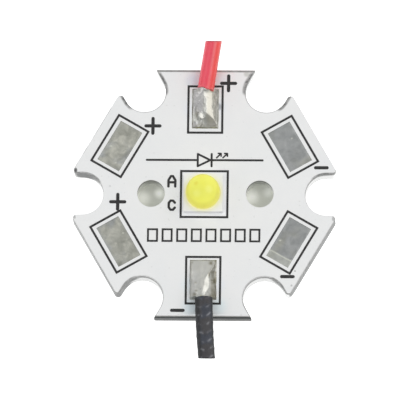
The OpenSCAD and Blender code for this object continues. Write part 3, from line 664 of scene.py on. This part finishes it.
def top_colour(x, y, edge):
    rim = 1 - ease(edge / (0.15 + 0.06 * ease((-0.5 - x) / 0.3) + 0.05 * ease((5.7 - y) / 0.2)))
    flux = rim * (0.85 + 0.45 * rumble(x, y, 0, 1.8, 4.0))
    line = np.exp(-(((x - 0.66 - 0.06 * (8.0 - y)) / 0.05) ** 2)) * ease((8.3 - y) / 0.4) * ease((y - 6.1) / 0.5)
    flux = np.maximum(flux, 0.32 * line)
    apron = ease((5.74 + 0.05 * rumble(x, 0, 0, 2.5, 3.0) - y) / 0.08)
    flux = np.maximum(flux, apron * (0.50 + 0.6 * rumble(x, y, 0, 3.6, 7.0)))
    for px, py, rx, ry, w in ((0.52, 8.24, 0.17, 0.13, 0.95), (-0.10, 7.05, 0.045, 0.42, 0.5), (-0.72, 6.55, 0.15, 0.42, 0.95), (-0.38, 5.72, 0.14, 0.09, 0.75), (0.20, 6.10, 0.34, 0.27, 0.33), (0.62, 7.90, 0.15, 0.40, 0.45),
                              (-0.55, 8.35, 0.25, 0.12, 0.55), (0.80, 6.30, 0.08, 0.3, 0.4)):
        flux = np.maximum(flux, w * hump(x, y, px, py, rx, ry))
    cream = ease((x - 0.02) / 0.25) * ease((edge - 0.05) / 0.2)
    lilac = np.maximum(ease((0.0 - x) / 0.3) * ease((y - 6.4) / 0.4), ease((-0.4 - x) / 0.3) * ease((6.0 - y) / 0.3))
    return {"flux": flux, "cream": cream, "lilac": lilac, "pale": hump(x, y, -0.33, 6.35, 0.18)}


# Rows of the negative joint from the sleeve towards the emitter: y, height of the crest, where it bends on the left,
# at the bright facet's left side and at its right side, and how strong that facet is.
LOW_ROWS = np.array([
    (-8.60, 1.00, -0.42, 0.00, 0.10, 1.0),
    (-8.45, 0.96, -0.45, -0.01, 0.16, 1.0),
    (-8.02, 0.84, -0.55, 0.04, 0.33, 1.0),
    (-7.68, 0.75, -0.62, 0.10, 0.48, 1.0),
    (-7.32, 0.65, -0.66, 0.16, 0.52, 1.0),
    (-6.88, 0.53, -0.70, 0.26, 0.46, 1.0),
    (-6.55, 0.44, -0.72, 0.42, 0.46, 1.0),
    (-6.30, 0.37, -0.75, 0.62, 0.63, 1.1),
    (-5.90, 0.26, -0.80, 0.84, 0.84, 1.2),
    (-5.40, 0.13, -0.85, 0.97, 0.97, 1.2)])


def low_height(x, y):
    crest, left, facet, fall, amount = (np.interp(y, LOW_ROWS[:, 0], LOW_ROWS[:, i]) for i in (1, 2, 3, 4, 5))
    p = x + 0.025 * rumble(x * 0.5, y, 0, 2.2, 21.0)
    crisp = 34.0 + 76.0 * ease((y + 6.80) / 0.25)
    z = crest - 0.07 * bend(p + 0.18) - amount * (0.33 * bend(p - facet, crisp) + 0.42 * bend(p - fall, crisp)) - 0.06 * bend(-0.18 - p)
    z = z - (0.20 + 0.50 * ease((crest - 0.25) / 0.5)) * bend(left - p, 12.0)
    z = smooth_max([z, 0.11 - 0.10 * ease((x - 0.35) / 0.4) + 0.015 * rumble(x, y, 0, 2.0, 8.0)], 60.0)
    return z + (0.012 + 0.014 * ease((0.0 - x) / 0.3)) * rumble(x * 0.8, y * 0.7, 0, 2.6, 15.0) + 0.10 * hump(x, y, 0.08, -8.64, 0.5, 0.12)


def low_colour(x, y, edge):
    rim = 1 - ease(edge / 0.13)
    flux = rim * (0.62 + 0.45 * rumble(x, y, 0, 1.8, 9.0))
    strip = ease((x - 0.58 - 0.05 * rumble(0, y, 0, 2.0, 4.0)) / 0.14) * ease((-6.15 - y) / 0.3)
    flux = np.maximum(flux, strip * (0.88 + 0.4 * rumble(x, y, 0, 2.6, 2.0)))
    flux = np.maximum(flux, 0.40 * np.exp(-(((x + 0.93) / 0.05) ** 2)))
    for px, py, r, w in ((0.66, -7.08, 0.08, 0.8), (-0.64, -8.36, 0.18, 1.0), (-0.92, -5.62, 0.12, 0.6), (0.88, -5.95, 0.17, 0.9), (0.80, -6.35, 0.18, 0.95), (0.62, -5.66, 0.18, 0.95), (-0.85, -6.75, 0.14, 0.35), (0.62, -8.42, 0.16, 0.8),
                         (-0.59, -7.36, 0.11, 0.72), (-0.505, -8.06, 0.11, 1.0), (0.99, -6.42, 0.17, 1.0), (0.98, -6.72, 0.15, 0.9), (0.30, -7.45, 0.55, 0.13)):
        flux = np.maximum(flux, w * hump(x, y, px, py, r))
    fold = np.interp(y, LOW_ROWS[:, 0], LOW_ROWS[:, 4])
    flux = np.maximum(flux, 0.95 * np.exp(-(((x - fold - 0.04) / 0.11) ** 2)) * ease((y + 7.05) / 0.35))
    cream = np.maximum(ease((x - 0.5) / 0.2) * ease((-6.6 - y) / 0.5), 0.30 * ease((y + 6.9) / 0.5))
    lilac = 0.3 * ease((-0.3 - x) / 0.3) * ease((-6.2 - y) / 0.4)
    return {"flux": flux, "cream": cream, "lilac": lilac, "pale": np.maximum(ease((y + 7.0) / 0.6), 0.8 * hump(x, y, -0.37, -7.1, 0.2, 0.3)) * ease(edge / 0.2)}


sheet_solid("positive_solder_fillet", 130, 190, joint_place(1, 0.03, 2.3, top_height, top_colour), 1.551, SOLDER, ["positive_solder_joint"])
sheet_solid("negative_solder_fillet", 130, 190, joint_place(-1, 0.10, 6.1, low_height, low_colour), 1.551, SOLDER, ["negative_solder_joint"])


# ------------------------------------------------------------------ leads
def strand_bundle(name, path, length, end, first, stands_for):
    """Seven twisted strands, cut with the sleeve."""
    verts, faces = [], []
    r, seg, steps, turn_len = 0.1, 20, 60, 9.0
    t, a = np.meshgrid(np.linspace(0, 1, steps), np.linspace(0, 2 * math.pi, seg, endpoint=False), indexing="ij")
    for k in range(7):
        off = 0.0 if k == 0 else 0.208
        phase = math.radians(60 * k) + 2 * math.pi * (first + t * (length - first)) / turn_len
        x, y = off * np.cos(phase) + r * np.cos(a), off * np.sin(phase) + r * np.sin(a)
        stop = cut_at(path, length, end, np.hypot(x, y), np.arctan2(y, x)) - 0.02
        s = first + t * (stop - first)
        p, e1, e2, _ = path(s)
        p = p - np.array([0.0, 0.0, 0.42]) * ease((0.06 - s) / 0.6)[..., None]  # the bare end dips into the solder
        base = k * steps * seg
        verts.append((p + x[..., None] * e1 + y[..., None] * e2).reshape(-1, 3))
        for j in range(steps - 1):
            for i in range(seg):
                n = (i + 1) % seg
                faces.append((base + j * seg + i, base + j * seg + n, base + (j + 1) * seg + n, base + (j + 1) * seg + i))
        faces.append(tuple(base + i for i in range(seg)))
        faces.append(tuple(base + (steps - 1) * seg + i for i in range(seg)))
    piece(name, np.concatenate(verts), faces, STRAND, stands_for)


def red_lead():
    a, b = (0.045, 8.52, 2.30), (0.62, 12.32, 2.51)
    path, length = route(a, b)
    end = np.array(b)

    def shape(t, angle, inner):
        x, y = np.cos(angle), np.sin(angle)
        # the melted edge: it reaches further down on the right
        start = -0.05 - 0.10 * ease((x + 0.3) / 1.0) + 0.05 * rumble(x, y, 0, 1.7, 3.0) + 0.03 * rumble(x, y, 0, 4.5, 8.0)
        r = np.full_like(t, 0.33 if inner else 0.655)
        if not inner:
            edge = np.minimum(t, 1 - t) * (length + 0.1)
            r = r - 0.02 * (1 - np.minimum(1.0, edge / 0.04)) ** 2
        s = start + t * (cut_at(path, length, end, r, angle) - start)
        if not inner:
            r = r + 0.003 * rumble(x, y, s * 0.5, 1.2, 1.0) + 0.025 * np.exp(-(s - start) / 0.12) * (rumble(x, y, s, 2.0, 2.0) - 0.5)
        # painted shade at the cut end, along the left edge and along the right edge away from the joint; painted warmth
        # on the right side and a painted highlight stripe right of the middle
        tip = ease((t - 0.972) / 0.016)
        side = ease((-x - 0.90) / 0.09) * 0.85 * ease((s - 0.2) / 0.6)
        right = 0.45 * ease((x - 0.86) / 0.10) * ease((s - 1.0) / 1.2)
        grime = np.maximum(np.maximum(0.75 * tip, side), right)
        return s, r, {"grime": grime, "warm": ease((x - 0.15) / 0.5), "shine": np.exp(-(((x - 0.30) / 0.16) ** 2)) * (0.45 + 0.55 * t) * (1 - inner), "melt": np.exp(-(s - start) / 0.10) * (0.6 + 0.4 * rumble(x, y, s, 2.2, 6.0))}

    outside = np.concatenate([[0.0, 0.004, 0.01, 0.018], np.linspace(0.03, 0.965, 80), [0.972, 0.978, 0.984, 0.99, 0.996, 1.0]])
    tube_solid("red_sleeve_skin", path, outside, [1.0, 0.97, 0.8, 0.4, 0.1, 0.0], 128, shape, RED, ["red_insulation"])
    strand_bundle("red_conductor", path, length, end, -0.9, ["red_strands"])


def black_lead():
    a, m, b = (0.10, -8.62, 2.35), (0.165, -10.27, 2.40), (0.405, -13.58, 2.51)
    path, length = route(a, m, b)
    end = np.array(b)
    lay = 0.70  # the ribs run round the sleeve, one turn in this length

    def shape(t, angle, inner):
        x, y = -np.cos(angle), np.sin(angle)
        start = 0.01 + 0.03 * rumble(x, y, 0, 2.2, 4.0)
        if inner:
            r = np.full_like(t, 0.33)
            s = start + t * (cut_at(path, length, end, r, angle) - start)
            return s, r, {"crown": np.zeros_like(t), "shade": np.ones_like(t)}
        r = 0.702 - 0.035 * t
        s = start + t * (cut_at(path, length, end, r, angle) - start)
        drift = 0.06 * rumble(x, y, s, 0.8, 5.0)
        turn_at = s / lay + angle / (2 * math.pi) - 0.47 + drift
        wave = 0.5 + 0.5 * np.cos(2 * math.pi * turn_at)
        fade = 0.35 + 0.65 * ease((s - 0.25) / 0.6)
        edge = np.minimum(t, 1 - t) * length
        r = r + 0.014 * (wave - 0.5) * fade * ease(edge / 0.10)
        r = r + 0.006 * rumble(x, y, s, 2.4, 7.0) - 0.03 * (1 - np.minimum(1.0, edge / 0.05)) ** 2
        knot = (0.5 + 0.5 * np.cos(6 * (angle - math.radians(65.0)) + 1.4 * np.clip(4.0 * x, -1.0, 1.0) * np.sin(2 * math.pi * turn_at))) ** 3
        r = r + 0.012 * wave ** 2 * knot * fade * ease(edge / 0.10)
        # this value marks the rib crowns and also paints lighter glints on them
        crown = wave ** 2 * (0.05 + 0.95 * knot) * fade * np.clip(0.55 + 1.3 * rumble(x * 1.4, y * 1.4, s, 1.5, 2.0) + 0.5 * rumble(x, y, s, 5.0, 3.0), 0.0, 1.2)
        shade = 0.85 * ease((abs(x) - 0.62) / 0.36)
        shade = np.maximum(shade, 0.82 * ease((-x - 0.30) / 0.4))
        shade = np.maximum(shade, 0.9 * ease((t - 0.975) / 0.012))
        shade = np.maximum(shade, 0.6 * ease((0.12 - s) / 0.12))
        return s, r, {"crown": crown, "shade": shade}

    outside = np.concatenate([[0.0, 0.003, 0.007], np.linspace(0.012, 0.97, 300), [0.975, 0.98, 0.985, 0.99, 0.995, 1.0]])
    tube_solid("black_ribbed_sleeve", path, outside, [1.0, 0.97, 0.8, 0.4, 0.1, 0.0], 128, shape, BLACK, ["black_insulation"])
    strand_bundle("black_conductor", path, length, end, -0.9, ["black_strands"])


red_lead()
black_lead()


# ------------------------------------------------------------------ emitter dome
def dome():
    r0, z0, zc, cx = 1.335, 2.212, 2.69, -0.07
    top_z = 4.025
    foot = 1.46
    profile = [(foot, z0, 1.0)]
    for i in range(10):  # thin foot of silicone on the ceramic
        t = i / 9
        profile.append((foot - (foot - r0) * t, z0 + 0.010 + 0.20 * t ** 2.2, 1.0 - t ** 1.5))
    for i in range(1, 8):
        profile.append((r0, z0 + 0.21 + (zc - z0 - 0.21) * i / 7, 0.0))
    for i in range(1, 40):
        a = math.pi / 2 * i / 40
        profile.append((r0 * math.cos(a), zc + (top_z - zc) * math.sin(a), 0.0))
    seg = 128
    a = np.linspace(0, 2 * math.pi, seg, endpoint=False)
    verts = [np.stack([cx + r * np.cos(a), r * np.sin(a), np.full(seg, z)], 1) for r, z, _ in profile]
    rim = [np.full(seg, e) for _, _, e in profile]
    low = [np.full(seg, float(ease((zc + 1.15 - z) / 1.0))) for _, z, _ in profile] + [np.zeros(1)]
    rows = len(profile)
    faces = [(j * seg + i, j * seg + (i + 1) % seg, (j + 1) * seg + (i + 1) % seg, (j + 1) * seg + i) for j in range(rows - 1) for i in range(seg)]
    verts.append(np.array([[cx, 0.0, top_z]]))
    rim.append(np.zeros(1))
    faces += [((rows - 1) * seg + i, (rows - 1) * seg + (i + 1) % seg, rows * seg) for i in range(seg)]
    faces.append(tuple(range(seg)))
    piece("emitter_lens_dome", np.concatenate(verts), faces, PHOSPHOR, ["emitter_dome"], {"rim": np.concatenate(rim), "low": np.concatenate(low)})


dome()


# ------------------------------------------------------------------ floor and light
def floor():
    n = 96
    verts, faces = [(0.0, 0.0, 0.0)], []
    for r in (0.02, 0.2, 4.0):
        verts += [(r * math.cos(2 * math.pi * i / n), r * math.sin(2 * math.pi * i / n), 0.0) for i in range(n)]
    faces += [(0, 1 + i, 1 + (i + 1) % n) for i in range(n)]
    for k in range(2):
        faces += [(1 + k * n + i, 1 + (k + 1) * n + i, 1 + (k + 1) * n + (i + 1) % n, 1 + k * n + (i + 1) % n) for i in range(n)]
    me = bpy.data.meshes.new("floor")
    me.from_pydata(verts, [], faces)
    o = bpy.data.objects.new("floor", me)
    scene.collection.objects.link(o)
    s = Shader("pale_floor")
    n = s.tree.nodes.new("ShaderNodeVectorMath")
    n.operation = "LENGTH"
    s.tree.links.new(s.mm, n.inputs[0])
    glow = s.span(n.outputs["Value"], 6.0, 7.5, 0.075, 0.85, True)
    # light that the bright walls of the two holes throw on the floor
    for x, y, r, amount in ((-4.89, 0.07, 0.85, 0.19), (-3.65, 0.43, 0.60, 0.27), (3.73, 0.18, 0.85, 0.25), (5.02, 0.55, 0.60, 0.16)):
        glow = s.math("ADD", glow, s.math("MULTIPLY", s.near(x, y, 0.0, 0.0, r), amount))
    tone = s.mix(s.span(n.outputs["Value"], 6.0, 7.5, 0.0, 1.0), (0.70, 0.72, 0.62), (0.80, 0.80, 0.79))
    s.set(Base_Color=tone, Roughness=0.9, Specular_IOR_Level=0.1, Emission_Color=(1.0, 1.0, 1.0), Emission_Strength=glow)
    me.materials.append(s.mat)


def lamp(name, direction, distance, length, width, radiance, colour=(1.0, 1.0, 1.0)):
    """A flat softbox, long side along Y."""
    data = bpy.data.lights.new(name, "AREA")
    data.shape = "RECTANGLE"
    data.size = length
    data.size_y = width
    data.energy = radiance * math.pi * length * width
    data.color = colour
    o = bpy.data.objects.new(name, data)
    scene.collection.objects.link(o)
    z = Vector(direction).normalized()
    x = (Vector((0.0, 1.0, 0.0)) - z * z.y).normalized()
    y = z.cross(x)
    m = Matrix.Identity(4)
    for i in range(3):
        m[i][0], m[i][1], m[i][2], m[i][3] = x[i], y[i], z[i], z[i] * distance
    o.matrix_world = m
    o.visible_camera = False
    return o


def light():
    lamp("right_softbox", (0.62, 0.10, 0.78), 0.30, 0.46, 0.21, 1.15, (1.0, 0.985, 0.96))
    lamp("left_softbox", (-0.57, -0.10, 0.81), 0.30, 0.44, 0.20, 0.78, (0.97, 0.985, 1.0))
    world = bpy.data.worlds.new("studio")
    world.use_nodes = True
    t = world.node_tree
    t.nodes.clear()
    out = t.nodes.new("ShaderNodeOutputWorld")
    # a room that is brighter on the far side than on the near one
    coord = t.nodes.new("ShaderNodeTexCoord")
    part = t.nodes.new("ShaderNodeSeparateXYZ")
    t.links.new(coord.outputs["Generated"], part.inputs[0])
    fall = t.nodes.new("ShaderNodeMapRange")
    fall.interpolation_type = "SMOOTHSTEP"
    t.links.new(part.outputs[1], fall.inputs[0])
    for i, v in enumerate((-0.75, 0.75, 0.44, 0.68)):
        fall.inputs[i + 1].default_value = v
    room = t.nodes.new("ShaderNodeBackground")
    room.inputs[0].default_value = (0.98, 0.99, 1.0, 1.0)
    t.links.new(fall.outputs[0], room.inputs[1])
    seen = t.nodes.new("ShaderNodeBackground")
    seen.inputs[0].default_value = (1.0, 1.0, 1.0, 1.0)
    seen.inputs[1].default_value = 1.0
    path = t.nodes.new("ShaderNodeLightPath")
    pick = t.nodes.new("ShaderNodeMixShader")
    t.links.new(path.outputs["Is Camera Ray"], pick.inputs[0])
    t.links.new(room.outputs[0], pick.inputs[1])
    t.links.new(seen.outputs[0], pick.inputs[2])
    t.links.new(pick.outputs[0], out.inputs[0])
    scene.world = world


floor()
light()
